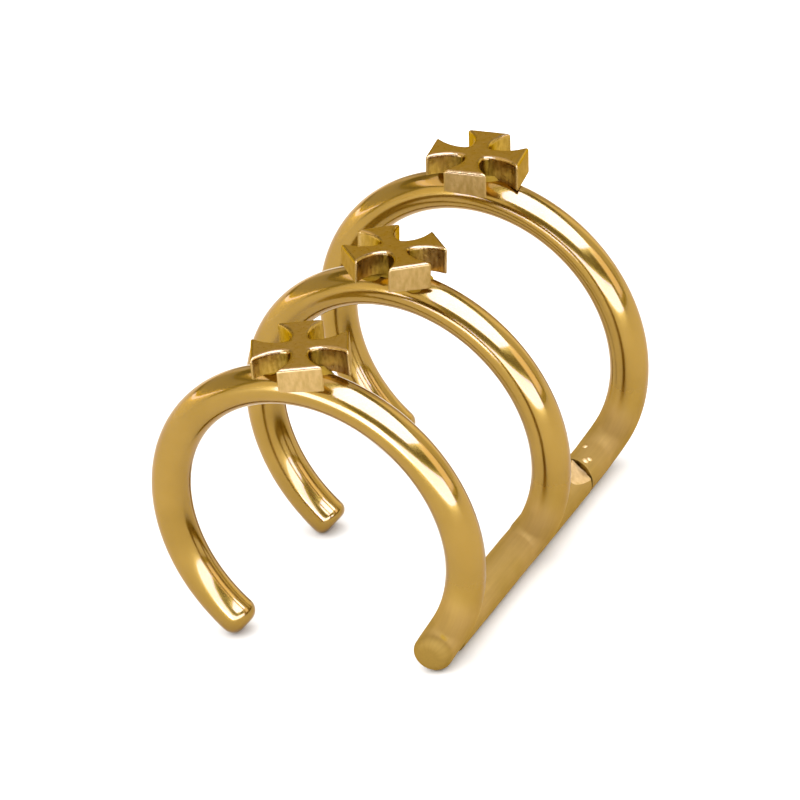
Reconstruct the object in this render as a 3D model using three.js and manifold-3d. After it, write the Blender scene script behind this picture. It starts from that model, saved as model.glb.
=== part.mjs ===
// A triple ear cuff. Three open rings of round wire are soldered along one straight bar, and a
// small flared cross is soldered on the crown of each ring. The cuff is worn on the rim of the
// ear, which enters between the bar and the rings' free tips, so it needs no clip and no piercing.
//
// Millimetres, +Z up. The cuff lies on its bar and on the three tips. The rings' common axis runs
// along Y, with the front ring towards -Y. The origin is the middle of its footprint.
import * as THREE from "three";
import { mergeVertices } from "three/addons/utils/BufferGeometryUtils.js";
import Module from "manifold-3d";

const wasm = await Module();
wasm.setup();

// Wire and bar
const WIRE_RADIUS = 0.6;
const TIP_EDGE_RADIUS = 0.4; // rounding at the rim of a ring's free end
const JOINT_EDGE_RADIUS = 0.2; // rounding at the rim of its end inside the bar
const BAR_RADIUS = 0.612;
const BAR_LENGTH = 11.8; // between the centres of its two round ends
const BAR_ANGLE = -43.4; // where the bar crosses each ring, in degrees

// The bar is two lengths butted together, and a fine groove shows where they meet.
const SEAM_AT = 9.85; // from the centre of the bar's front end
const SEAM_WIDTH = 0.1;
const SEAM_DEPTH = 0.07;

// The rings are set by hand, so each one sits a little out of true. x, y and z place the ring's
// centre from the centre of the bar's front end. lean and swing turn the ring's plane about X and
// Z, and tip is the angle at which its free end stops, all in degrees. collar moves the solder
// along the bar, so that none stands past the bar's back end.
const RINGS = [
  { radius: 4.95, x: -3.65, y: 0.66, z: 3.44, lean: -0.62, swing: -0.79, tip: 229.6, collar: 0 },
  { radius: 4.95, x: -3.585, y: 6.5, z: 3.38, lean: -1.85, swing: -1.99, tip: 228.8, collar: 0 },
  { radius: 5.0, x: -3.68, y: 12.01, z: 3.45, lean: -3.77, swing: 0.72, tip: 229.4, collar: -0.36 },
];

// One cross for each ring. at is its angle on the ring and shift moves it along the rings' axis,
// in millimetres. turn, pitch and roll are how far it was soldered out of line, about its own
// upright axis, the ring's tangent and the rings' axis.
const CROSSES = [
  { name: "cross_front", at: 84.5, shift: 0.19, turn: 27.7, pitch: -1.7, roll: -1.4 },
  { name: "cross_middle", at: 84.6, shift: 0.16, turn: 47.9, pitch: -5.8, roll: 2.5 },
  { name: "cross_back", at: 83.1, shift: 0.13, turn: 10.5, pitch: -1.1, roll: 0.7 },
];
const CROSS_HALF_SPAN = 1.44;
const CROSS_END_HALF_WIDTH = 0.7;
const CROSS_FLARE = { x: 1.11, y: 0.325 }; // handles of the hollow curve along an arm's side
const CROSS_NECK = { x: 0.6, y: 0.175 };
const CROSS_CORNER = 0.33; // inner corner between two arms, from both centre lines
const CROSS_THICKNESS = 0.675;

// Each cross sits on a low bed of solder that stands just proud of the wire's crown.
const BED_TOP_RADIUS = 0.36;
const BED_FOOT_RADIUS = 0.48;
const BED_STRETCH = 1.8; // along the ring
const BED_DEPTH = 0.34;
const BED_RISE = 0.015;
const CROSS_GAP = 0.025; // between a cross and its bed

// A collar of solder fills the crotches where a ring meets the bar. Its profile gives the
// distance from the bar's axis along the ring, and the half-width along the bar.
const COLLAR_PROFILE = [
  { along: 0.2, half: 0.97 },
  { along: 0.55, half: 0.97 },
  { along: 0.72, half: 0.8 },
  { along: 0.98, half: 0.64 },
  { along: 1.3, half: 0.5 },
];
const COLLAR_FLATNESS = 0.57; // its thickness across the bar, as a share of its width

// Facets
const WIRE_SIDES = 16;
const RING_STEPS = 52;
const EDGE_STEPS = 4;
const COLLAR_SIDES = 26;
const BED_SIDES = 20;
const CURVE_STEPS = 6;
const SAME_POINT = 1e-4; // vertices nearer than this are one

const GOLD = { color: 0xb8923f, roughness: 0.2, metalness: 1 };

const degrees = THREE.MathUtils.degToRad;

/** A closed geometry as a manifold solid. */
function toSolid(geometry) {
  const bare = geometry.clone();
  bare.deleteAttribute("normal");
  bare.deleteAttribute("uv");
  const merged = mergeVertices(bare, SAME_POINT);
  const mesh = new wasm.Mesh({
    numProp: 3,
    vertProperties: Float32Array.from(merged.attributes.position.array),
    triVerts: Uint32Array.from(merged.index.array),
  });
  return new wasm.Manifold(mesh);
}

/** A manifold solid as a geometry. */
function toGeometry(solid) {
  const mesh = solid.getMesh();
  const geometry = new THREE.BufferGeometry();
  geometry.setAttribute("position", new THREE.BufferAttribute(mesh.vertProperties, 3));
  geometry.setIndex(new THREE.BufferAttribute(mesh.triVerts, 1));
  geometry.computeVertexNormals();
  return geometry;
}

/** The quarter circle that rounds a wire's rim, from the side of the wire to its end face. */
function rimPoints(radius, edge) {
  const points = [];
  for (let i = 0; i <= EDGE_STEPS; i += 1) {
    const a = (Math.PI / 2) * (i / EDGE_STEPS);
    points.push(new THREE.Vector2(radius - edge * (1 - Math.cos(a)), edge * Math.sin(a)));
  }
  return points;
}

/** A straight round wire along +Y with rounded rims. between lists profile points for its side. */
function straightWire(radius, length, startEdge, endEdge, between) {
  const start = rimPoints(radius, startEdge).reverse();
  const end = rimPoints(radius, endEdge);
  start.forEach((p) => p.set(p.x, startEdge - p.y));
  end.forEach((p) => p.set(p.x, length - endEdge + p.y));
  const profile = [...start, ...between, ...end];
  if (startEdge < radius) profile.unshift(new THREE.Vector2(0, 0));
  else profile[0].x = 0;
  if (endEdge < radius) profile.push(new THREE.Vector2(0, length));
  else profile.at(-1).x = 0;

  // The flats of the faceted section touch the true circle.
  const halfSide = Math.PI / WIRE_SIDES;
  profile.forEach((p) => p.setX(p.x / Math.cos(halfSide)));
  return new THREE.LatheGeometry(profile, WIRE_SIDES, halfSide);
}

/** A straight wire bent round into an arc in the XZ plane that starts at an angle. */
function bent(geometry, radius, startAngle) {
  const position = geometry.attributes.position;
  for (let i = 0; i < position.count; i += 1) {
    const a = startAngle + position.getY(i) / radius;
    const reach = radius + position.getX(i);
    position.setXYZ(i, reach * Math.cos(a), -position.getZ(i), reach * Math.sin(a));
  }
  return geometry;
}

/** Where a ring's own frame lies in the cuff. */
function ringMatrix(ring) {
  const turn = new THREE.Euler(degrees(ring.lean), 0, degrees(ring.swing), "ZXY");
  return new THREE.Matrix4().makeRotationFromEuler(turn).setPosition(ring.x, ring.y, ring.z);
}

/** A frame on a ring at an angle: X along the ring, Y along its axis, Z outwards. */
function crownMatrix(ring, angle) {
  const a = degrees(angle);
  const outward = new THREE.Vector3(Math.cos(a), 0, Math.sin(a));
  const tangent = new THREE.Vector3(Math.sin(a), 0, -Math.cos(a));
  const axial = new THREE.Vector3(0, 1, 0);
  const frame = new THREE.Matrix4().makeBasis(tangent, axial, outward);
  frame.setPosition(outward.multiplyScalar(ring.radius));
  return frame.premultiply(ringMatrix(ring));
}

/** The open ring, from its end inside the bar round to its free tip. */
function ringSolid(ring) {
  const length = degrees(ring.tip - BAR_ANGLE) * ring.radius;
  const between = [];
  const first = JOINT_EDGE_RADIUS;
  const last = length - TIP_EDGE_RADIUS;
  for (let i = 1; i < RING_STEPS; i += 1) {
    between.push(new THREE.Vector2(WIRE_RADIUS, THREE.MathUtils.lerp(first, last, i / RING_STEPS)));
  }
  const straight = straightWire(WIRE_RADIUS, length, JOINT_EDGE_RADIUS, TIP_EDGE_RADIUS, between);
  const arc = bent(straight, ring.radius, degrees(BAR_ANGLE));
  return toSolid(arc.applyMatrix4(ringMatrix(ring)));
}

/** The straight back bar, with round ends and the groove of its butt joint. */
function barSolid() {
  const seam = SEAM_AT + BAR_RADIUS;
  const groove = [
    new THREE.Vector2(BAR_RADIUS, seam - SEAM_WIDTH / 2),
    new THREE.Vector2(BAR_RADIUS - SEAM_DEPTH, seam),
    new THREE.Vector2(BAR_RADIUS, seam + SEAM_WIDTH / 2),
  ];
  const length = BAR_LENGTH + 2 * BAR_RADIUS;
  const bar = straightWire(BAR_RADIUS, length, BAR_RADIUS, BAR_RADIUS, groove);
  return toSolid(bar.translate(0, -BAR_RADIUS, 0));
}

/** The collar of solder round the foot of a ring. */
function collarSolid(ring) {
  const profile = COLLAR_PROFILE.map((p) => new THREE.Vector2(p.half, p.along));
  profile.unshift(new THREE.Vector2(0, COLLAR_PROFILE[0].along));
  profile.push(new THREE.Vector2(0, COLLAR_PROFILE.at(-1).along));
  const collar = new THREE.LatheGeometry(profile, COLLAR_SIDES);

  // The profile's axis runs along the ring, against the tangent of the crown's frame.
  collar.rotateZ(Math.PI / 2).scale(1, 1, COLLAR_FLATNESS).translate(0, ring.collar, 0);
  return toSolid(collar.applyMatrix4(crownMatrix(ring, BAR_ANGLE)));
}

/** Where a cross lies: Z up out of its top face, origin on the crown of the wire below it. */
function crossMatrix(cross, ring) {
  const turned = new THREE.Euler(degrees(cross.pitch), degrees(cross.roll), degrees(cross.turn), "YXZ");
  const local = new THREE.Matrix4().makeRotationFromEuler(turned);
  local.setPosition(0, cross.shift, WIRE_RADIUS + BED_RISE);
  return local.premultiply(crownMatrix(ring, cross.at));
}

/** The low cone of solder on the crown of a ring, flat on top, that carries a cross. */
function bedSolid(cross, ring) {
  const cone = new THREE.CylinderGeometry(BED_TOP_RADIUS, BED_FOOT_RADIUS, BED_DEPTH, BED_SIDES);
  cone.rotateX(Math.PI / 2).translate(0, 0, -BED_DEPTH / 2);
  cone.scale(BED_STRETCH, 1, 1).rotateZ(degrees(-cross.turn));
  return toSolid(cone.applyMatrix4(crossMatrix(cross, ring)));
}

/** A flat cross with four arms that widen outwards along hollow curves. */
function crossGeometry() {
  const outline = new THREE.Shape();
  const at = (quarter, x, y) => new THREE.Vector2(x, y).rotateAround(new THREE.Vector2(), quarter);
  const first = at(0, CROSS_HALF_SPAN, CROSS_END_HALF_WIDTH);
  outline.moveTo(first.x, first.y);
  for (let arm = 0; arm < 4; arm += 1) {
    const here = (arm * Math.PI) / 2;
    const next = here + Math.PI / 2;
    const flare = at(here, CROSS_FLARE.x, CROSS_FLARE.y);
    const neck = at(here, CROSS_NECK.x, CROSS_NECK.y);
    const corner = at(here, CROSS_CORNER, CROSS_CORNER);
    outline.bezierCurveTo(flare.x, flare.y, neck.x, neck.y, corner.x, corner.y);
    const nextNeck = at(next, CROSS_NECK.x, -CROSS_NECK.y);
    const nextFlare = at(next, CROSS_FLARE.x, -CROSS_FLARE.y);
    const right = at(next, CROSS_HALF_SPAN, -CROSS_END_HALF_WIDTH);
    outline.bezierCurveTo(nextNeck.x, nextNeck.y, nextFlare.x, nextFlare.y, right.x, right.y);
    const left = at(next, CROSS_HALF_SPAN, CROSS_END_HALF_WIDTH);
    if (arm < 3) outline.lineTo(left.x, left.y);
  }
  return new THREE.ExtrudeGeometry(outline, {
    depth: CROSS_THICKNESS,
    curveSegments: CURVE_STEPS,
    bevelEnabled: false,
  });
}

/** Rings, bar and solder are one piece of metal. */
function frameMesh() {
  let frame = barSolid();
  RINGS.forEach((ring, i) => {
    frame = frame.add(ringSolid(ring)).add(collarSolid(ring)).add(bedSolid(CROSSES[i], ring));
  });
  const mesh = new THREE.Mesh(toGeometry(frame), new THREE.MeshStandardMaterial(GOLD));
  mesh.name = "cuff_frame";
  return mesh;
}

/** One cross, seated over its bed of solder. */
function crossMesh(cross, ring) {
  const mesh = new THREE.Mesh(crossGeometry(), new THREE.MeshStandardMaterial(GOLD));
  mesh.name = cross.name;
  const lifted = new THREE.Matrix4().makeTranslation(0, 0, CROSS_GAP);
  lifted.premultiply(crossMatrix(cross, ring)).decompose(mesh.position, mesh.quaternion, mesh.scale);
  return mesh;
}

const cuff = new THREE.Group();
cuff.add(frameMesh());
RINGS.forEach((ring, i) => cuff.add(crossMesh(CROSSES[i], ring)));

// The origin goes to the middle of the footprint, on the surface that the cuff lies on.
const box = new THREE.Box3().setFromObject(cuff, true);
const centre = box.getCenter(new THREE.Vector3());
cuff.position.set(-centre.x, -centre.y, -box.min.z);

export default cuff;
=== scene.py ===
import math

import bpy
from mathutils import Matrix, Vector


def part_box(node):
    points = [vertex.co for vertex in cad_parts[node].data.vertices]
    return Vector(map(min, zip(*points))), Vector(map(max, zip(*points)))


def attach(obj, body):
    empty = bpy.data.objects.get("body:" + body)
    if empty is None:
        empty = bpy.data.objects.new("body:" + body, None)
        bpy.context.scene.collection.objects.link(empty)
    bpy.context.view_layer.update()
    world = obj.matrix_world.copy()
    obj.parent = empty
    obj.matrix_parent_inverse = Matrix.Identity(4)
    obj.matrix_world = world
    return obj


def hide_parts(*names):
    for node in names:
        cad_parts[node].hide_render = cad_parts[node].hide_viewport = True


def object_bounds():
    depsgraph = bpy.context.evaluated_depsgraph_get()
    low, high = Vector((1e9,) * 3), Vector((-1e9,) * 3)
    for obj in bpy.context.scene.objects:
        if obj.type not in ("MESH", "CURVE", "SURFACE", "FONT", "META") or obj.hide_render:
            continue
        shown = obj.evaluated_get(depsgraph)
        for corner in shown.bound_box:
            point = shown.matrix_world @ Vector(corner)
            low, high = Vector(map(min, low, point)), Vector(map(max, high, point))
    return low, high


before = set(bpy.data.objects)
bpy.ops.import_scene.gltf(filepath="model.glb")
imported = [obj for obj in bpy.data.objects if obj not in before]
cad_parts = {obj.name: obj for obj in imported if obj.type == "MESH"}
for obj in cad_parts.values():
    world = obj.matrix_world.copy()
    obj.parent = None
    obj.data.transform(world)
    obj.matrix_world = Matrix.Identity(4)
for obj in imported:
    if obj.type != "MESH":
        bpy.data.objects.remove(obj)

cad_low, cad_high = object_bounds()


# Rings: three open rings of round brass wire, gold plated and polished. Each wire is bent square at
# its foot and runs on towards the front, where it ends on the ring before it or in a rounded stub,
# so that the three feet in line make the back bar. The feet were heated and are duller than the rest.
mm = 0.001
wire_radius = 0.6
wire_sides = 64
wire_step = 0.12
foot_step = 0.2
elbow_steps = 20
stub_edge = 0.312
stub_steps = 10
edge_steps = 8
crease = math.radians(40)
same_place = 0.01

# The pieces are modelled in millimetres, with Y along the bar's axis from the middle of its front end,
# which lies bar_across and bar_height from the low corner of the frame's box.
bar_across = 9.28
bar_height = 0.626
bar_radius = 0.612
bar_angle = -43.4
seam_at = 9.85
seam_edge = 0.02
seam_edge_steps = 3
seam_turn = 15
seam_gap = 0.07
seam_reach = 0.15
bar_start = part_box("cuff_frame")[0] / mm + Vector((bar_across, bar_radius, bar_height))
bar_place = Matrix.Translation(bar_start)

# lean and swing turn a ring about X and Z, and tip is where its free end lies, in degrees. edge is
# how far that end is rounded, bend the size of the elbow, and foot where the wire ends on the bar.
rings = {
    "front": dict(radius=4.95, centre=(-3.65, 0.66, 3.44), lean=-0.62, swing=-0.79, tip=229.6,
                  edge=0.4, bend=0.75, foot=-0.15),
    "middle": dict(radius=4.95, centre=(-3.585, 6.5, 3.38), lean=-1.85, swing=-1.99, tip=228.9,
                   edge=0.3, bend=0.8, foot=0.75),
    "back": dict(radius=5.0, centre=(-3.68, 12.01, 3.45), lean=-3.77, swing=0.72, tip=229.4,
                 edge=0.4, bend=0.95, foot=seam_at + seam_gap / 2 + seam_edge),
}

gold_colour = (0.255, 0.142, 0.011, 1)
worn_gold_colour = (0.29, 0.165, 0.018, 1)
# Painted light: the feet's colours are lighter than the gold, against the shade low on the bar.
dull_painted_light_colour = (0.295, 0.172, 0.02, 1)
worn_dull_painted_light_colour = (0.345, 0.205, 0.032, 1)
rim_colour = (0.65, 0.5, 0.26, 1)
lacquer = 0.55
lacquer_roughness = 0.06
dull_from, dull_to = 3.6, 1.6
# Painted shade: the front end of the bar is darker, over the glow its rounded end catches.
end_shade_colour = (0.27, 0.156, 0.017, 1)
end_shade_from, end_shade_to = -6.6, -7.0


def pick_faces(piece, wanted):
    """Selects in edit mode only the faces for which wanted(face) holds."""
    bpy.ops.object.mode_set(mode="OBJECT")
    for part in (piece.data.vertices, piece.data.edges, piece.data.polygons):
        part.foreach_set("select", [False] * len(part))
    for face in piece.data.polygons:
        face.select = wanted(face)
    bpy.ops.object.mode_set(mode="EDIT")
    bpy.ops.mesh.select_mode(type="FACE")


def pick_edges(piece, wanted):
    """Selects in edit mode only the edges whose two ends a and b give wanted(a, b)."""
    bpy.ops.object.mode_set(mode="OBJECT")
    for part in (piece.data.vertices, piece.data.edges, piece.data.polygons):
        part.foreach_set("select", [False] * len(part))
    points = [point.co for point in piece.data.vertices]
    for edge in piece.data.edges:
        first, second = edge.vertices
        edge.select = wanted(points[first], points[second])
    bpy.ops.object.mode_set(mode="EDIT")
    bpy.ops.mesh.select_mode(type="EDGE")


def round_end(piece, centre, along, radius, edge_radius, steps):
    """Draws the flat end of a round wire out and in over a quarter circle, to round it."""
    pick_faces(piece, lambda face: (face.center - centre).length < same_place)
    drawn, width = 0, radius
    for step in range(1, steps + 1):
        t = math.radians(90) * step / steps
        reach = edge_radius * math.sin(t)
        next_width = radius - edge_radius * (1 - math.cos(t))
        bpy.ops.mesh.extrude_region_move(TRANSFORM_OT_translate={"value": along * (reach - drawn)})
        shrink = next_width / width
        bpy.ops.transform.resize(value=(shrink, shrink, shrink), center_override=centre + along * reach)
        drawn, width = reach, next_width
    bpy.ops.mesh.select_all(action="SELECT")
    bpy.ops.mesh.normals_make_consistent(inside=False)
    bpy.ops.object.mode_set(mode="OBJECT")


def turn_end(piece):
    """Turns the end at the seam a little, since the two ends were not cut quite square."""
    pick_faces(piece, lambda face: abs(face.center.y - seam_at) < seam_reach)
    bpy.ops.transform.rotate(value=math.radians(seam_turn), orient_axis="Z",
                             center_override=(0, seam_at, 0))
    bpy.ops.object.mode_set(mode="OBJECT")


def take_up(piece):
    """Makes a piece the only selected one and the active one."""
    bpy.ops.object.select_all(action="DESELECT")
    piece.select_set(True)
    bpy.context.view_layer.objects.active = piece


def settle(piece, name, place, finish):
    """Puts a piece modelled in millimetres where it goes on the cuff, and gives it its finish."""
    piece.name = name
    piece.matrix_world = Matrix.Scale(mm, 4) @ place @ piece.matrix_world
    take_up(piece)
    bpy.ops.object.transform_apply(location=True, rotation=True, scale=True)
    piece.data.materials.clear()
    piece.data.materials.append(finish)
    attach(piece, "root")


def add_node(tree, kind, **settings):
    """Adds a node. settings are its own settings, or its inputs with _ for each space."""
    node = tree.nodes.new(kind)
    for name, value in settings.items():
        if hasattr(node, name):
            setattr(node, name, value)
        else:
            node.inputs[name.replace("_", " ")].default_value = value
    return node


def metal(name):
    """A bare gold-plated metal whose colour and gloss are still to be linked."""
    finish = bpy.data.materials.new(name)
    finish.use_nodes = True
    surface = finish.node_tree.nodes["Principled BSDF"]
    surface.inputs["Metallic"].default_value = 1
    surface.inputs["Specular Tint"].default_value = rim_colour
    return finish, finish.node_tree, surface


def two_tone(tree, noise, plain, worn, worn_from=0.7, plain_to=0.35):
    """A colour that goes from plain to worn with a noise."""
    ramp = add_node(tree, "ShaderNodeValToRGB")
    first, last = ramp.color_ramp.elements
    first.position, first.color = plain_to, plain
    last.position, last.color = worn_from, worn
    tree.links.new(noise.outputs["Fac"], ramp.inputs["Fac"])
    return ramp.outputs["Color"]


def gloss(tree, noise, smooth, rough):
    """A roughness that goes from smooth to rough with a noise, most of which lies from 0.3 to 0.7."""
    spread = add_node(tree, "ShaderNodeMapRange", From_Min=0.3, From_Max=0.7, To_Min=smooth, To_Max=rough)
    tree.links.new(noise.outputs["Fac"], spread.inputs["Value"])
    return spread.outputs["Result"]


def relief(tree, noise, strength, depth):
    """Dents and ribs too fine to model, that follow a noise."""
    bump = add_node(tree, "ShaderNodeBump", Strength=strength, Distance=depth * mm)
    tree.links.new(noise.outputs["Fac"], bump.inputs["Height"])
    return bump


def fade(tree, measure, begins, full, kind="LINEAR"):
    """A share that grows from 0, where a measure is at begins, to 1, where it is at full."""
    grown = add_node(tree, "ShaderNodeMapRange", From_Min=begins, From_Max=full, interpolation_type=kind)
    tree.links.new(measure, grown.inputs["Value"])
    return grown.outputs["Result"]


def blend(tree, share, first, second, kind="RGBA"):
    """One colour, number or direction that goes over into another where share is 1."""
    mix = add_node(tree, "ShaderNodeMix", data_type=kind)
    for name, value in (("Factor", share), ("A", first), ("B", second)):
        tree.links.new(value, mix.inputs[name])
    return mix.outputs["Result"]


polished_wire, tree, surface = metal("polished_wire")
surface.inputs["Coat Roughness"].default_value = lacquer_roughness
surface.inputs["Coat IOR"].default_value = 1.5
link = tree.links.new
grain = add_node(tree, "ShaderNodeAttribute", attribute_name="grain")
stretched = add_node(tree, "ShaderNodeMapping", vector_type="POINT")
stretched.inputs["Scale"].default_value = (0.5, 9, 9)
streaks = add_node(tree, "ShaderNodeTexNoise", Scale=1.0, Detail=4.0, Roughness=0.6)
link(grain.outputs["Vector"], stretched.inputs["Vector"])
link(stretched.outputs["Vector"], streaks.inputs["Vector"])
patches = add_node(tree, "ShaderNodeTexNoise", Scale=0.7, Detail=3.0, Roughness=0.5)
link(grain.outputs["Vector"], patches.inputs["Vector"])

# The feet, up to a few millimetres of wire from the bar, are duller, and their colours are painted
# lighter than the gold: painted light against the shade low on the bar between the rings.
along = add_node(tree, "ShaderNodeSeparateXYZ")
link(grain.outputs["Vector"], along.inputs["Vector"])
footed = fade(tree, along.outputs["X"], dull_from, dull_to, "SMOOTHSTEP")
bright_tint = two_tone(tree, patches, gold_colour, worn_gold_colour)
dull_painted_light_tint = two_tone(tree, patches, dull_painted_light_colour, worn_dull_painted_light_colour)
whole_tint = blend(tree, footed, bright_tint, dull_painted_light_tint)
bright_gloss = gloss(tree, streaks, 0.15, 0.22)
dull_gloss = gloss(tree, streaks, 0.78, 0.88)
link(blend(tree, footed, bright_gloss, dull_gloss, "FLOAT"), surface.inputs["Roughness"])
glaze = add_node(tree, "ShaderNodeMapRange", To_Min=lacquer, To_Max=0.0)
link(footed, glaze.inputs["Value"])
link(glaze.outputs["Result"], surface.inputs["Coat Weight"])
link(relief(tree, streaks, 0.35, 0.006).outputs["Normal"], surface.inputs["Normal"])

# The front end of the bar is painted darker still: painted shade over the glow its rounded end
# catches from the lamps.
place = add_node(tree, "ShaderNodeTexCoord")
across = add_node(tree, "ShaderNodeSeparateXYZ")
link(place.outputs["Object"], across.inputs["Vector"])
end_shaded = fade(tree, across.outputs["Y"], end_shade_from * mm, end_shade_to * mm, "SMOOTHSTEP")
end_shade_tint = add_node(tree, "ShaderNodeMix", data_type="RGBA")
end_shade_tint.inputs["B"].default_value = end_shade_colour
link(end_shaded, end_shade_tint.inputs["Factor"])
link(whole_tint, end_shade_tint.inputs["A"])
link(end_shade_tint.outputs["Result"], surface.inputs["Base Color"])


def draw_wire(points, radius, foot_length):
    """A round wire drawn through points, closed at both ends. Its grain notes the length of wire
    from the bar and the place across the wire, so that streaks can follow its bends."""
    bpy.ops.object.select_all(action="DESELECT")
    bpy.ops.curve.primitive_nurbs_path_add()
    wire = bpy.context.object
    wire.data.splines.clear()
    spline = wire.data.splines.new("POLY")
    spline.points.add(len(points) - 1)
    for drawn, point in zip(spline.points, points):
        drawn.co = (*point, 1)
    wire.data.bevel_depth = radius
    wire.data.bevel_resolution = wire_sides // 2 - 2
    bpy.ops.object.convert(target="MESH")
    wire = bpy.context.object
    bpy.ops.object.transform_apply(location=True, rotation=True, scale=True)

    # The mesh has wire_sides points around each point of the path, one turn after the other.
    run = [-foot_length]
    for last, point in zip(points, points[1:]):
        run.append(run[-1] + (point - last).length)
    grain = wire.data.attributes.new("grain", "FLOAT_VECTOR", "POINT")
    for number, kept in enumerate(grain.data):
        around = math.tau * (number % wire_sides) / wire_sides
        length = run[min(number // wire_sides, len(run) - 1)]
        kept.vector = (length, radius * math.cos(around), radius * math.sin(around))
    bpy.ops.object.mode_set(mode="EDIT")
    bpy.ops.mesh.select_all(action="SELECT")
    bpy.ops.mesh.fill_holes(sides=0)
    bpy.ops.mesh.normals_make_consistent(inside=False)
    bpy.ops.object.mode_set(mode="OBJECT")
    return wire


def ring_place(ring):
    """Where a ring's own frame lies on the bar. Its axis is Y, and angles turn from X to Z."""
    lean = Matrix.Rotation(math.radians(ring["lean"]), 4, "X")
    swing = Matrix.Rotation(math.radians(ring["swing"]), 4, "Z")
    return Matrix.Translation(ring["centre"]) @ swing @ lean


def wire_path(ring):
    """A ring's middle line from the end of its foot to the start of its tip, and the foot's length."""
    place = ring_place(ring)

    def on_ring(distance):
        a = math.radians(bar_angle) + distance / ring["radius"]
        return place @ Vector((ring["radius"] * math.cos(a), 0, ring["radius"] * math.sin(a)))

    bend = ring["bend"]
    knee = Vector((0, on_ring(0).y - bend, 0))
    off_line = Vector((on_ring(0).x, 0, on_ring(0).z))
    foot = Vector((0, ring["foot"], 0))
    straight = math.ceil((knee.y - foot.y) / foot_step)
    points = [foot.lerp(knee, step / straight) for step in range(straight)]
    for step in range(elbow_steps):
        t = math.radians(90) * (1 - step / elbow_steps)
        curl = 1 - math.cos(t)
        points.append(on_ring(bend * (1 - math.sin(t))) - Vector((0, bend * curl, 0)) - off_line * curl)
    length = math.radians(ring["tip"] - bar_angle) * ring["radius"] - ring["edge"]
    steps = math.ceil((length - bend) / wire_step)
    points += [on_ring(bend + (length - bend) * step / steps) for step in range(steps + 1)]
    return points, knee.y - foot.y


wires = {}
for name, ring in rings.items():
    points, foot_length = wire_path(ring)
    wire = draw_wire(points, wire_radius, foot_length)
    forward = (points[-1] - points[-2]).normalized()
    round_end(wire, points[-1], forward, wire_radius, ring["edge"], edge_steps)
    if name == "front":
        round_end(wire, points[0], Vector((0, -1, 0)), wire_radius, stub_edge, stub_steps)
    if name == "back":
        round_end(wire, points[0], Vector((0, -1, 0)), wire_radius, seam_edge, seam_edge_steps)
        turn_end(wire)
    bpy.ops.object.shade_smooth_by_angle(angle=crease)
    wires[name] = wire


# Link: a short piece of rod between the middle ring's back and the butted seam with the back ring's
# foot. Both sides of the seam have their rims taken off, and a flat was filed beside it.
link_from = 6.3
# The filed flat and the seam solder are paler: partly the bare filed metal and partly a painted highlight.
filed_and_highlight_colour = (0.46, 0.29, 0.06, 1)
bright_filed_and_highlight_colour = (0.6, 0.4, 0.1, 1)
dark_seam_face_colour = (0.075, 0.04, 0.004, 1)
facet_centre = Vector((0.286, 9.8, 0.32))
facet_normal = Vector((0.656, 0.177, 0.733)).normalized()
link_to = seam_at - seam_gap / 2 - seam_edge
link_steps = 18
link_crease = math.radians(30)
points = []
for step in range(link_steps + 1):
    points.append(Vector((0, link_from + (link_to - link_from) * step / link_steps, 0)))
rod = draw_wire(points, bar_radius, points[-1].y)
round_end(rod, points[-1], Vector((0, 1, 0)), bar_radius, seam_edge, seam_edge_steps)
turn_end(rod)
bpy.ops.object.mode_set(mode="EDIT")
bpy.ops.mesh.select_all(action="SELECT")
bpy.ops.mesh.bisect(plane_co=facet_centre, plane_no=facet_normal, clear_outer=True, use_fill=True)
bpy.ops.object.mode_set(mode="OBJECT")
bpy.ops.object.shade_smooth_by_angle(angle=link_crease)
wires["link"] = rod


def worked_metal(name, noise, tones, shine, dents):
    """A metal as a tool or the heat left it, with one noise for its colour, its gloss and its dents.
    noise is a scale for each millimetre and a detail, and the others go on to two_tone, gloss and
    relief."""
    finish, tree, surface = metal(name)
    scale, detail = noise
    place = add_node(tree, "ShaderNodeTexCoord")
    marks = add_node(tree, "ShaderNodeTexNoise", Scale=scale / mm, Detail=detail, Roughness=0.6)
    tree.links.new(place.outputs["Object"], marks.inputs["Vector"])
    tree.links.new(two_tone(tree, marks, *tones), surface.inputs["Base Color"])
    tree.links.new(gloss(tree, marks, *shine), surface.inputs["Roughness"])
    tree.links.new(relief(tree, marks, *dents).outputs["Normal"], surface.inputs["Normal"])
    return finish


filed_and_highlight = worked_metal("filed_and_highlight", (6.0, 3.0), (filed_and_highlight_colour, bright_filed_and_highlight_colour), (0.55, 0.65), (0.5, 0.015))

# The face of the foot behind the seam was left bare and is dark.
dark_seam_face = worked_metal("dark_seam_face", (5.0, 3.0), (dark_seam_face_colour, gold_colour, 0.8), (0.5, 0.7), (0.4, 0.01))

# The end faces and the filed flat are the only large faces with more than four corners.
for name, wire in wires.items():
    take_up(wire)
    bpy.ops.object.duplicate()
    piece = bpy.context.object
    settle(piece, "bar_link" if name == "link" else "ring_" + name, bar_place, polished_wire)
    if name == "link":
        piece.data.materials.append(filed_and_highlight)
        for face in piece.data.polygons:
            face.material_index = int(face.normal.dot(facet_normal) > 0.999 and len(face.vertices) > 4)
    if name == "back":
        piece.data.materials.append(dark_seam_face)
        for face in piece.data.polygons:
            face.material_index = int(face.normal.y < -0.9 and len(face.vertices) > 4)
    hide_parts("cuff_frame")


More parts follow.
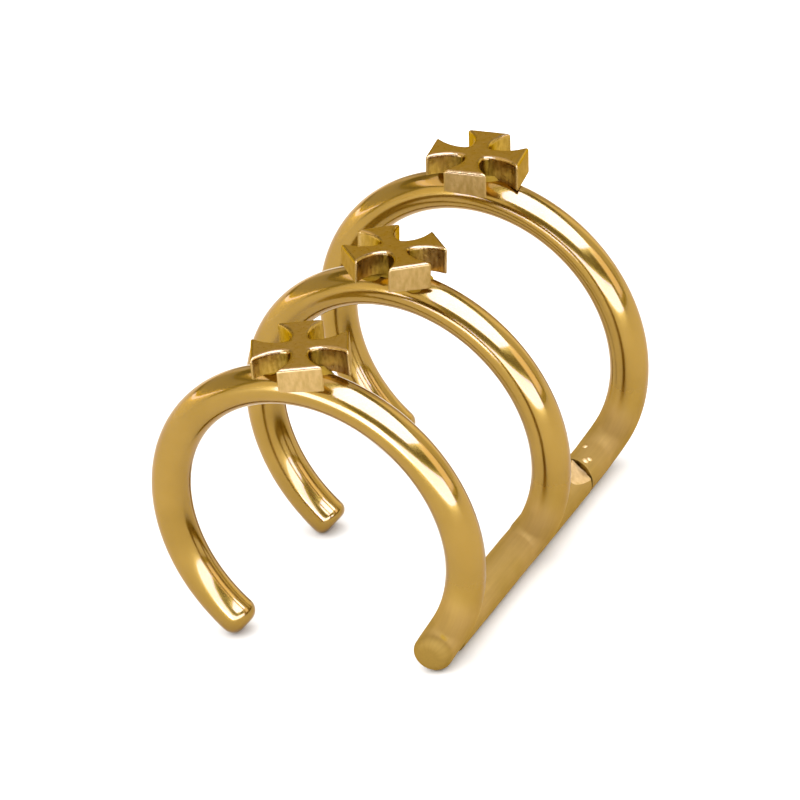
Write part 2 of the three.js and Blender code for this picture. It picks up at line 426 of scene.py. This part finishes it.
# Solder joints: each ring's foot is soldered to the wire before it with gold solder, which was only
# brushed, so it is duller than the wire.
def melt(pieces, voxel, rounds):
    """Melts pieces of solder into one smooth lump."""
    bpy.ops.object.select_all(action="DESELECT")
    for piece in pieces:
        piece.select_set(True)
    bpy.context.view_layer.objects.active = pieces[0]
    bpy.ops.object.join()
    lump = bpy.context.object
    bpy.ops.object.transform_apply(location=True, rotation=True, scale=True)
    melted = lump.modifiers.new("melted", "REMESH")
    melted.mode = "VOXEL"
    melted.voxel_size = voxel
    melted.use_smooth_shade = True
    bpy.ops.object.modifier_apply(modifier=melted.name)
    flowed = lump.modifiers.new("flowed", "SMOOTH")
    flowed.factor = 0.5
    flowed.iterations = rounds
    bpy.ops.object.modifier_apply(modifier=flowed.name)
    return lump


solder_colour = (0.28, 0.155, 0.007, 1)
bright_solder_colour = (0.33, 0.19, 0.012, 1)
solder = worked_metal("solder", (3.5, 4.0), (solder_colour, bright_solder_colour), (0.78, 0.88),
                      (0.3, 0.008))

# A joint is the ends of two wires melted into one lump. It is cut off along the bar, up the rings and
# on the inner side, and taken in a little, so that it shows only in the crotches between the wires.
joint_take_in = 0.008
joint_voxel = 0.03
joint_reach = 1.5
joint_height = 1.1
joint_depth = 1
joint_rounds = 45
for name, behind in (("front", "middle"), ("middle", "link")):
    middle = rings[name]["centre"][1]
    parts = []
    for kind in (name, behind):
        take_up(wires[kind])
        bpy.ops.object.duplicate()
        part = bpy.context.object
        bpy.ops.object.mode_set(mode="EDIT")
        for at, away in (((0, middle - joint_reach, 0), (0, -1, 0)),
                         ((0, middle + joint_reach, 0), (0, 1, 0)),
                         ((joint_height, 0, joint_height), (1, 0, 1)),
                         ((-joint_depth, 0, 0), (-1, 0, 0))):
            bpy.ops.mesh.select_all(action="SELECT")
            bpy.ops.mesh.bisect(plane_co=at, plane_no=away, clear_outer=True, use_fill=True)
        bpy.ops.mesh.select_all(action="SELECT")
        bpy.ops.transform.shrink_fatten(value=-joint_take_in)
        bpy.ops.object.mode_set(mode="OBJECT")
        parts.append(part)
    joint = melt(parts, joint_voxel, joint_rounds)
    settle(joint, "solder_joint_" + name, bar_place, solder)


# Seam solder: a thin core of solder joins the two butted ends, a little to the outer side of the
# middle, and a few drops of it were left standing on the back ring's foot.
core_radius = 0.4
core_shift = Vector((0.06, 0, -0.06))
core_half_length = 0.3
core_steps = 6
seam_voxel = 0.015
seam_rounds = 4
seam_drops = [((0.26, 10.0, 0.43), 0.14), ((0.31, 10.16, 0.39), 0.13), ((0.0, 10.64, 0.51), 0.12)]
core_step = 2 * core_half_length / core_steps
core_from = core_shift + Vector((0, seam_at - core_half_length, 0))
points = [core_from + Vector((0, core_step * step, 0)) for step in range(core_steps + 1)]
lumps = [draw_wire(points, core_radius, 0)]
for at, radius in seam_drops:
    bpy.ops.object.select_all(action="DESELECT")
    bpy.ops.mesh.primitive_ico_sphere_add(subdivisions=3, radius=radius, location=at)
    lumps.append(bpy.context.object)
core = melt(lumps, seam_voxel, seam_rounds)
# The seam solder takes the pale filed finish, which on its drops is a painted highlight.
settle(core, "solder_seam", bar_place, filed_and_highlight)

for wire in wires.values():
    bpy.data.objects.remove(wire)


# Crosses: three small flared crosses cast in brass and plated, with soft edges and a grainy skin.
# They are all cast in one mould, filed on the underside, a little thicker towards the bar, and
# soldered by hand on the crowns, each a little out of line.
cross_half_span = 1.455
cross_end_half_width = 0.715
cross_flare = Vector((1.12, 0.33))
cross_neck = Vector((0.6, 0.18))
cross_corner = 0.33
cross_height = 0.92
cross_top = 0.7
underside = 0.035
underside_slope = 0.075
cross_edge_radius = 0.09
cross_edge_steps = 4
cross_edge_from = math.radians(32)
cross_voxel = 0.024
cross_rounds = 3
arm_steps = 9
grain_size = 0.13
grain_depth = 0.007
bed_rise = 0.015
cross_gap = 0.025

# at is a cross's angle on its ring and shift its place across the wire. It was soldered out of line
# by turn about its own upright axis, by pitch about the ring's tangent and by roll about its axis.
crosses = {
    "front": dict(at=84.5, shift=0.19, turn=27.7, pitch=-1.7, roll=-1.4),
    "middle": dict(at=84.6, shift=0.16, turn=47.9, pitch=-5.8, roll=2.5),
    "back": dict(at=83.1, shift=0.13, turn=10.5, pitch=-1.1, roll=0.7),
}


def arm_edge(t):
    """A point on the hollow side of an arm, from the inner corner at 0 to the arm's end at 1."""
    corner = Vector((cross_corner, cross_corner))
    end = Vector((cross_half_span, cross_end_half_width))
    s = 1 - t
    return corner * s**3 + cross_neck * 3 * s * s * t + cross_flare * 3 * s * t * t + end * t**3


bpy.ops.object.select_all(action="DESELECT")
bpy.ops.mesh.primitive_plane_add(size=2 * cross_corner)
cross = bpy.context.object
for arm in range(4):
    turn = Matrix.Rotation(math.radians(90) * arm, 3, "Z")
    root = turn @ Vector((cross_corner, 0, 0))
    pick_edges(cross, lambda a, b: ((a + b) / 2 - root).length < same_place)
    reach, half_width = cross_corner, cross_corner
    for step in range(1, arm_steps + 1):
        side = arm_edge(step / arm_steps)
        bpy.ops.mesh.extrude_edges_move(
            TRANSFORM_OT_translate={"value": turn @ Vector((side.x - reach, 0, 0))})
        widen = side.y / half_width
        bpy.ops.transform.resize(value=(widen, widen, 1), center_override=turn @ Vector((side.x, 0, 0)))
        reach, half_width = side.x, side.y
bpy.ops.mesh.select_all(action="SELECT")
bpy.ops.mesh.extrude_region_move(TRANSFORM_OT_translate={"value": (0, 0, cross_height)})
bpy.ops.mesh.select_all(action="SELECT")
bpy.ops.mesh.normals_make_consistent(inside=False)
bpy.ops.mesh.select_all(action="DESELECT")
bpy.ops.mesh.select_mode(type="EDGE")
bpy.ops.mesh.edges_select_sharp(sharpness=cross_edge_from)
bpy.ops.mesh.bevel(offset=cross_edge_radius, segments=cross_edge_steps, profile=0.5, affect="EDGES")
bpy.ops.object.mode_set(mode="OBJECT")
fine = cross.modifiers.new("fine", "REMESH")
fine.mode = "VOXEL"
fine.voxel_size = cross_voxel
fine.use_smooth_shade = True
bpy.ops.object.modifier_apply(modifier=fine.name)
worn = cross.modifiers.new("worn", "SMOOTH")
worn.factor = 0.5
worn.iterations = cross_rounds
bpy.ops.object.modifier_apply(modifier=worn.name)

# Each point's place in the mould is kept, so that the finish can tell the faces from one another.
mould = cross.data.attributes.new("mould", "FLOAT_VECTOR", "POINT")
for point, kept in zip(cross.data.vertices, mould.data):
    kept.vector = point.co

cast_grain = bpy.data.textures.new("cast_grain", "CLOUDS")
cast_grain.noise_scale = grain_size
cast_grain.noise_depth = 2

top_colour = (0.2, 0.118, 0.03, 1)
worn_top_colour = (0.23, 0.14, 0.04, 1)
edge_colour = (0.28, 0.165, 0.03, 1)
worn_edge_colour = (0.34, 0.21, 0.055, 1)
hollow_colour = (0.24, 0.139, 0.019, 1)
worn_hollow_colour = (0.36, 0.216, 0.036, 1)
# Painted shade for the nooks between the arms next to the middle.
nook_shade_colour = (0.09, 0.048, 0.003, 1)
worn_nook_shade_colour = (0.2, 0.115, 0.01, 1)
end_colour = (0.25, 0.147, 0.024, 1)
worn_end_colour = (0.34, 0.205, 0.04, 1)

# These are heights in the mould, or places along an arm. A tint begins at the first and is full at
# the second.
top_from, top_to = cross_height - 0.03, cross_height - 0.005
edge_from, edge_to = cross_height - 0.12, cross_height - 0.07
end_from, end_to = cross_half_span - 0.12, cross_half_span - 0.03
nook_shade_from, nook_shade_to = 0.85, 0.5
cast_cross, tree, surface = metal("cast_cross")
link = tree.links.new
mould = add_node(tree, "ShaderNodeAttribute", attribute_name="mould")
skin = add_node(tree, "ShaderNodeTexNoise", Scale=9.0, Detail=5.0, Roughness=0.65)
link(mould.outputs["Vector"], skin.inputs["Vector"])
drawn = add_node(tree, "ShaderNodeMapping", vector_type="POINT")
drawn.inputs["Scale"].default_value = (10, 10, 4)
flutes = add_node(tree, "ShaderNodeTexNoise", Scale=1.0, Detail=3.0, Roughness=0.6)
link(mould.outputs["Vector"], drawn.inputs["Vector"])
link(drawn.outputs["Vector"], flutes.inputs["Vector"])

# The top and its edges are worn, the arms' ends are pale, and the hollows between the arms are dark.
# The nooks next to the middle are painted darker still: painted shade, where the arms close in around them.
height = add_node(tree, "ShaderNodeSeparateXYZ")
link(mould.outputs["Vector"], height.inputs["Vector"])
top = fade(tree, height.outputs["Z"], top_from, top_to)
edge = fade(tree, height.outputs["Z"], edge_from, edge_to)
unsigned = add_node(tree, "ShaderNodeVectorMath", operation="ABSOLUTE")
link(mould.outputs["Vector"], unsigned.inputs[0])
spread = add_node(tree, "ShaderNodeSeparateXYZ")
link(unsigned.outputs["Vector"], spread.inputs["Vector"])
farther = add_node(tree, "ShaderNodeMath", operation="MAXIMUM")
link(spread.outputs["X"], farther.inputs[0])
link(spread.outputs["Y"], farther.inputs[1])
end = fade(tree, farther.outputs["Value"], end_from, end_to)
nook_shade = fade(tree, farther.outputs["Value"], nook_shade_from, nook_shade_to)
whole_tint = two_tone(tree, flutes, hollow_colour, worn_hollow_colour)
whole_gloss = gloss(tree, flutes, 0.26, 0.36)
for share, noise, plain, worn, smooth, rough in (
        (nook_shade, flutes, nook_shade_colour, worn_nook_shade_colour, 0.3, 0.4),
        (end, flutes, end_colour, worn_end_colour, 0.52, 0.62),
        (edge, skin, edge_colour, worn_edge_colour, 0.16, 0.24),
        (top, skin, top_colour, worn_top_colour, 0.26, 0.34)):
    whole_tint = blend(tree, share, whole_tint, two_tone(tree, noise, plain, worn))
    whole_gloss = blend(tree, share, whole_gloss, gloss(tree, noise, smooth, rough), "FLOAT")
link(whole_tint, surface.inputs["Base Color"])
link(whole_gloss, surface.inputs["Roughness"])
pits = relief(tree, skin, 0.25, 0.004)
ribs = relief(tree, flutes, 0.5, 0.01)
link(pits.outputs["Normal"], ribs.inputs["Normal"])
ribs_and_pits = blend(tree, edge, ribs.outputs["Normal"], pits.outputs["Normal"], "VECTOR")
link(ribs_and_pits, surface.inputs["Normal"])


def crown_place(ring, angle):
    """A place on a ring at an angle, with X along the ring, Y along its axis and Z outwards."""
    a = math.radians(angle)
    outward = Vector((math.cos(a), 0, math.sin(a)))
    along = Vector((math.sin(a), 0, -math.cos(a)))
    turn = Matrix((along, (0, 1, 0), outward)).transposed().to_4x4()
    return Matrix.Translation(outward * ring["radius"]) @ turn


def cross_place(name):
    """Where a cross's own frame lies on the cuff, with its origin on the solder below it."""
    seat = crosses[name]
    turn = Matrix.Rotation(math.radians(seat["roll"]), 4, "Y") @ Matrix.Rotation(
        math.radians(seat["pitch"]), 4, "X") @ Matrix.Rotation(math.radians(seat["turn"]), 4, "Z")
    seated = Matrix.Translation((0, seat["shift"], wire_radius + bed_rise)) @ turn
    ring = rings[name]
    return bar_place @ ring_place(ring) @ crown_place(ring, seat["at"]) @ seated


for name in crosses:
    take_up(cross)
    bpy.ops.object.duplicate()
    piece = bpy.context.object
    piece.matrix_world = cross_place(name) @ Matrix.Translation((0, 0, cross_top - cross_height))
    bpy.ops.object.transform_apply(location=True, rotation=True, scale=True)
    seat = cross_place(name) @ Matrix.Rotation(math.radians(-crosses[name]["turn"]), 4, "Z")
    below = seat.to_3x3() @ Vector((-underside_slope, 0, -1)).normalized()
    bpy.ops.object.mode_set(mode="EDIT")
    bpy.ops.mesh.select_all(action="SELECT")
    bpy.ops.mesh.bisect(plane_co=seat @ Vector((0, 0, -underside)), plane_no=below,
                        clear_outer=True, use_fill=True)
    bpy.ops.mesh.select_all(action="SELECT")
    bpy.ops.mesh.normals_make_consistent(inside=False)
    bpy.ops.object.mode_set(mode="OBJECT")
    bpy.ops.object.shade_smooth_by_angle(angle=crease)
    rough = piece.modifiers.new("rough", "DISPLACE")
    rough.texture = cast_grain
    rough.texture_coords = "LOCAL"
    rough.strength = grain_depth
    rough.mid_level = 0
    bpy.ops.object.modifier_apply(modifier=rough.name)
    settle(piece, "flared_cross_" + name, Matrix(), cast_cross)
    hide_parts("cross_" + name)

bpy.data.objects.remove(cross)


# Solder beds: each cross stands on a low bed of solder on the crown of its ring, and drops of solder
# have run out under its arms.
bed_depth = 0.34
bed_top_radius = 0.36
bed_foot_radius = 0.56
bed_stretch = 2.0
bed_overlap = 0.05
bed_voxel = 0.025
bed_rounds = 16
drop_stretch = (1.7, 1, 0.9, 1)
bed_height = bed_depth + cross_gap + bed_overlap
drops = {
    "front": [((-0.9, -0.36, -0.1), 0.2), ((0.1, -0.55, -0.24), 0.22)],
    "middle": [((-0.6, -0.48, -0.2), 0.22), ((0.9, -0.52, -0.22), 0.2), ((1.05, 0.08, -0.15), 0.15)],
    "back": [((-0.3, -0.54, -0.22), 0.22), ((-1.1, -0.1, -0.08), 0.15)],
}
for name, ring in rings.items():
    seat = cross_place(name) @ Matrix.Rotation(math.radians(-crosses[name]["turn"]), 4, "Z")
    bpy.ops.object.select_all(action="DESELECT")
    bpy.ops.mesh.primitive_cone_add(
        vertices=48, radius1=bed_foot_radius, radius2=bed_top_radius, depth=bed_height,
        location=(0, 0, bed_height / 2 - bed_depth))
    cone = bpy.context.object
    cone.matrix_world = seat @ Matrix.Diagonal((bed_stretch, 1, 1, 1)) @ cone.matrix_world
    lumps = [cone]
    for at, radius in drops[name]:
        bpy.ops.object.select_all(action="DESELECT")
        bpy.ops.mesh.primitive_ico_sphere_add(subdivisions=4, radius=radius)
        drop = bpy.context.object
        drop.matrix_world = seat @ Matrix.Translation(at) @ Matrix.Diagonal(drop_stretch)
        lumps.append(drop)
    bed = melt(lumps, bed_voxel, bed_rounds)
    settle(bed, "solder_bed_" + name, Matrix(), solder)


# Studio: a plain pale floor and large soft panels, which show only as reflections in the gold.
centre = (cad_low + cad_high) / 2
floor_size = 2.0
room_colour = (0.43, 0.39, 0.2, 1)

# The camera looks down at the cuff past its front end, held at a slant. right, up and back are its own
# axes, and back points from the cuff to the camera.
azimuth, elevation, roll = math.radians(32.69), math.radians(29.05), math.radians(-11.87)
distance = 201.88 * mm
lens, film_width = 299.97, 36
aim_left, aim_down = 0.003 * mm, 0.342 * mm
back = Vector((math.sin(azimuth) * math.cos(elevation), -math.cos(azimuth) * math.cos(elevation),
               math.sin(elevation)))
level = Vector((math.cos(azimuth), math.sin(azimuth), 0))
upright = back.cross(level)
right = math.cos(roll) * level + math.sin(roll) * upright
up = back.cross(right)
bpy.ops.object.select_all(action="DESELECT")
bpy.ops.object.camera_add()
camera = bpy.context.object
camera.data.lens = lens
camera.data.sensor_width = film_width
camera.data.clip_start = 0.01
aim = centre - aim_left * right - aim_down * up
held = Matrix((right, up, back)).transposed().to_4x4()
held.translation = aim + back * distance
camera.matrix_world = held
bpy.context.scene.camera = camera

bpy.ops.mesh.primitive_plane_add(size=floor_size)
floor = bpy.context.object
floor.name = "floor"
paper = bpy.data.materials.new("paper")
paper.use_nodes = True
surface = paper.node_tree.nodes["Principled BSDF"]
surface.inputs["Base Color"].default_value = (0.8, 0.8, 0.8, 1)
surface.inputs["Roughness"].default_value = 1
surface.inputs["Specular IOR Level"].default_value = 0
floor.data.materials.append(paper)

# The room is a dim warm one in reflections, and plain white in all other light.
world = bpy.data.worlds.new("studio")
world.use_nodes = True
tree = world.node_tree
plain = tree.nodes["Background"]
plain.inputs["Color"].default_value = (1, 1, 1, 1)
dim = add_node(tree, "ShaderNodeBackground")
dim.inputs["Color"].default_value = room_colour
path = add_node(tree, "ShaderNodeLightPath")
either = add_node(tree, "ShaderNodeMixShader")
tree.links.new(path.outputs["Is Glossy Ray"], either.inputs[0])
tree.links.new(plain.outputs[0], either.inputs[1])
tree.links.new(dim.outputs[0], either.inputs[2])
tree.links.new(either.outputs[0], tree.nodes["World Output"].inputs[0])
bpy.context.scene.world = world


# Panels: name, place in metres, turn in degrees, size in metres, brightness and tint. Energy goes with
# a panel's area, so that brightness means the same on a large panel and on a small one.
cool = (0.75, 0.95, 3.0)
pale = (1, 0.96, 1.3)
white = (1, 1, 1)
panels = [
    ("over_floor", (0, 0, 0.5), (0, 0, 0), (1.6, 1.6), 1.35, white),
    ("key", (0.26, -0.155, 0.40), (0, 0, -8), (0.52, 0.7), 7, cool),
    ("near_card", (0.03, -0.047, 0.009), (90, -5, 32), (0.105, 0.019), 5.5, cool),
    ("near_side", (-0.011, -0.054, 0.009), (90, 0, -12), (0.032, 0.019), 6, cool),
    ("front_left", (-0.27, -0.5, 0.22), (90, 0, 0), (0.42, 0.42), 1.2, white),
    ("left_low", (-0.5, 0.05, 0.047), (0, -90, 0), (0.095, 0.95), 1.2, white),
    ("left_line", (-0.5, -0.166, 0.111), (0, -90, 0), (0.024, 0.51), 5, pale),
    ("left_middle", (-0.5, 0.05, 0.25), (0, -90, 0), (0.22, 0.95), 0.5, white),
    ("left_high", (-0.375, -0.16, 0.40), (0, 0, 0), (0.07, 0.38), 2.4, pale),
    ("left_above", (-0.17, 0.05, 0.40), (0, 0, -8), (0.3, 0.88), 1.3, pale),
    ("right_warm", (0.465, 0.065, 0.171), (70, 0, 98), (0.28, 0.26), 2.0, pale),
    ("right_back", (0.326, 0.483, 0.145), (76, 0, 146), (0.55, 0.6), 0.8, white),
    ("back", (-0.02, 0.57, 0.185), (72, 0, -178), (0.7, 0.45), 0.6, white),
    ("left_back", (-0.377, 0.45, 0.125), (78, 0, -140), (0.4, 0.5), 0.35, white),
]
for name, place, turn, size, brightness, tint in panels:
    bpy.ops.object.select_all(action="DESELECT")
    bpy.ops.object.light_add(type="AREA", location=place, rotation=[math.radians(t) for t in turn])
    panel = bpy.context.object
    panel.name = name
    panel.data.shape = "RECTANGLE"
    panel.data.size, panel.data.size_y = size
    panel.data.energy = 4 * size[0] * size[1] * brightness
    panel.data.color = tint
    panel.visible_camera = False
    panel.visible_diffuse = name == "over_floor"
    panel.visible_glossy = name != "over_floor"

bpy.context.scene.view_settings.view_transform = "Standard"
